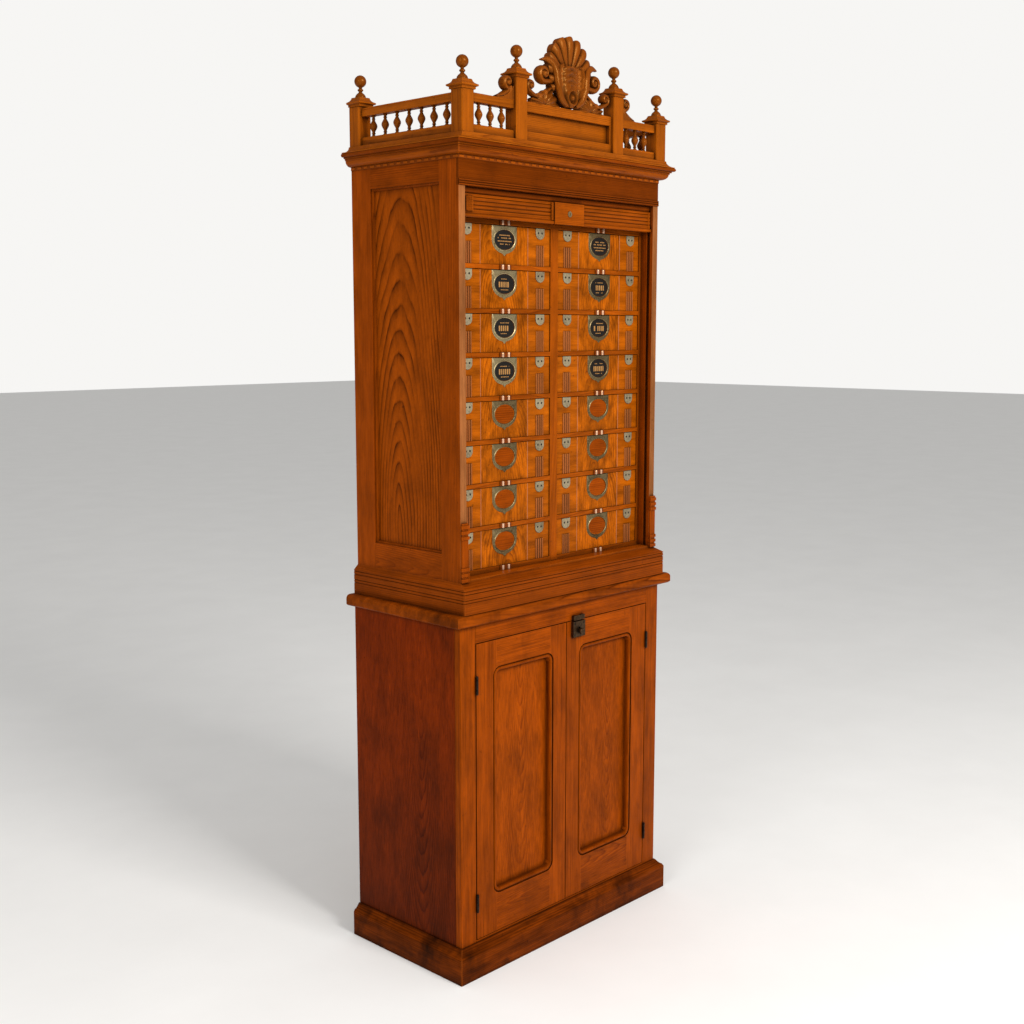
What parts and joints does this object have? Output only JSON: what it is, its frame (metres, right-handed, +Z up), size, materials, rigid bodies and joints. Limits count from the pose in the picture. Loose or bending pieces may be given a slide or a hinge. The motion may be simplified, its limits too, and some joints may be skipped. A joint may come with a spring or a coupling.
{
  "type": "cabinet letter file",
  "caption": "Tall wooden file cabinet: a nest of shallow drawers behind a roll shutter, on a two-door cupboard, with a spindle gallery and a carved shell crest.",
  "frame": {"origin": "on the floor, under the centre of the bounding box", "axes": "+Z up, the drawers and doors face -Y, +X to the right of someone behind it facing the front's direction reversed: seen from the front, +X is to the right"},
  "size_m": [0.815, 0.411, 2.2776],
  "materials": {
    "plinth_wood": "worn dark varnish on pine",
    "base_wood": "varnished pine",
    "case_wood": "varnished oak and chestnut",
    "drawer_wood": "figured veneer, varnished",
    "carved_wood": "carved and turned hardwood, varnished",
    "nest_wood": "plain hardwood, varnished",
    "hinge_iron": "dark, worn",
    "catch_bronze": "dark patinated",
    "lock_wood": "varnished"
  },
  "bodies": {
    "cabinet": {"base_plinth": "plinth_wood", "base_side_left": "base_wood", "base_side_right": "base_wood", "base_back": "base_wood", "base_face_frame": "base_wood", "base_floor": "base_wood", "base_shelf": "base_wood", "base_counter": "base_wood", "case_hinge_leaves": "hinge_iron", "catch_keeper": "catch_bronze", "waist_moulding": "case_wood", "upper_side_frame_left": "case_wood", "upper_side_frame_right": "case_wood", "upper_side_panel_left": "case_wood", "upper_side_panel_right": "case_wood", "upper_back": "case_wood", "upper_floor": "case_wood", "nest_partitions": "nest_wood", "nest_shelves": "nest_wood", "rail_blocks": "carved_wood", "frieze": "case_wood", "dentil_course": "case_wood", "cornice_cove": "case_wood", "cornice_board": "case_wood", "gallery_base": "case_wood", "gallery_posts": "case_wood", "post_caps": "carved_wood", "post_finials": "carved_wood", "gallery_rails": "case_wood", "gallery_spindles": "carved_wood", "crest_panel": "case_wood", "crest_shell": "carved_wood", "crest_scrolls": "carved_wood"},
    "drawer_left_1": {"drawer_left_1": "drawer_wood"},
    "drawer_left_2": {"drawer_left_2": "drawer_wood"},
    "drawer_left_3": {"drawer_left_3": "drawer_wood"},
    "drawer_left_4": {"drawer_left_4": "drawer_wood"},
    "drawer_left_5": {"drawer_left_5": "drawer_wood"},
    "drawer_left_6": {"drawer_left_6": "drawer_wood"},
    "drawer_left_7": {"drawer_left_7": "drawer_wood"},
    "drawer_left_8": {"drawer_left_8": "drawer_wood"},
    "drawer_right_1": {"drawer_right_1": "drawer_wood"},
    "drawer_right_2": {"drawer_right_2": "drawer_wood"},
    "drawer_right_3": {"drawer_right_3": "drawer_wood"},
    "drawer_right_4": {"drawer_right_4": "drawer_wood"},
    "drawer_right_5": {"drawer_right_5": "drawer_wood"},
    "drawer_right_6": {"drawer_right_6": "drawer_wood"},
    "drawer_right_7": {"drawer_right_7": "drawer_wood"},
    "drawer_right_8": {"drawer_right_8": "drawer_wood"},
    "left_door": {"left_door_frame": "base_wood", "left_door_panel": "base_wood", "left_door_hinge_leaves": "hinge_iron"},
    "right_door": {"right_door_frame": "base_wood", "right_door_panel": "base_wood", "right_door_hinge_leaves": "hinge_iron", "catch_case": "catch_bronze"},
    "catch_slider": {"catch_bolt": "catch_bronze"},
    "tambour": {"tambour_bar": "case_wood", "tambour_lock": "lock_wood", "tambour_curtain": "case_wood"}
  },
  "joints": [
    {"name": "drawer_left_1_slide", "type": "slide", "parent": "cabinet", "child": "drawer_left_1", "axis": [0, -1, 0], "range_m": [0, 0.25]},
    {"name": "drawer_left_2_slide", "type": "slide", "parent": "cabinet", "child": "drawer_left_2", "axis": [0, -1, 0], "range_m": [0, 0.25]},
    {"name": "drawer_left_3_slide", "type": "slide", "parent": "cabinet", "child": "drawer_left_3", "axis": [0, -1, 0], "range_m": [0, 0.25]},
    {"name": "drawer_left_4_slide", "type": "slide", "parent": "cabinet", "child": "drawer_left_4", "axis": [0, -1, 0], "range_m": [0, 0.25]},
    {"name": "drawer_left_5_slide", "type": "slide", "parent": "cabinet", "child": "drawer_left_5", "axis": [0, -1, 0], "range_m": [0, 0.25]},
    {"name": "drawer_left_6_slide", "type": "slide", "parent": "cabinet", "child": "drawer_left_6", "axis": [0, -1, 0], "range_m": [0, 0.25]},
    {"name": "drawer_left_7_slide", "type": "slide", "parent": "cabinet", "child": "drawer_left_7", "axis": [0, -1, 0], "range_m": [0, 0.25]},
    {"name": "drawer_left_8_slide", "type": "slide", "parent": "cabinet", "child": "drawer_left_8", "axis": [0, -1, 0], "range_m": [0, 0.25]},
    {"name": "drawer_right_1_slide", "type": "slide", "parent": "cabinet", "child": "drawer_right_1", "axis": [0, -1, 0], "range_m": [0, 0.25]},
    {"name": "drawer_right_2_slide", "type": "slide", "parent": "cabinet", "child": "drawer_right_2", "axis": [0, -1, 0], "range_m": [0, 0.25]},
    {"name": "drawer_right_3_slide", "type": "slide", "parent": "cabinet", "child": "drawer_right_3", "axis": [0, -1, 0], "range_m": [0, 0.25]},
    {"name": "drawer_right_4_slide", "type": "slide", "parent": "cabinet", "child": "drawer_right_4", "axis": [0, -1, 0], "range_m": [0, 0.25]},
    {"name": "drawer_right_5_slide", "type": "slide", "parent": "cabinet", "child": "drawer_right_5", "axis": [0, -1, 0], "range_m": [0, 0.25]},
    {"name": "drawer_right_6_slide", "type": "slide", "parent": "cabinet", "child": "drawer_right_6", "axis": [0, -1, 0], "range_m": [0, 0.25]},
    {"name": "drawer_right_7_slide", "type": "slide", "parent": "cabinet", "child": "drawer_right_7", "axis": [0, -1, 0], "range_m": [0, 0.25]},
    {"name": "drawer_right_8_slide", "type": "slide", "parent": "cabinet", "child": "drawer_right_8", "axis": [0, -1, 0], "range_m": [0, 0.25]},
    {"name": "left_door_hinge", "type": "hinge", "parent": "cabinet", "child": "left_door", "pos_m": [-0.328, -0.1841, 0.46], "axis": [0, 0, -1], "range_deg": [0, 160]},
    {"name": "right_door_hinge", "type": "hinge", "parent": "cabinet", "child": "right_door", "pos_m": [0.328, -0.1841, 0.46], "axis": [0, 0, 1], "range_deg": [0, 160]},
    {"name": "catch_slide", "type": "slide", "parent": "right_door", "child": "catch_slider", "axis": [0, 0, 1], "range_m": [0, 0.007]},
    {"name": "tambour_slide", "type": "slide", "parent": "cabinet", "child": "tambour", "axis": [0, 0, 1], "range_m": [-0.842, 0], "deforming": ["tambour_curtain"]}
  ]
}
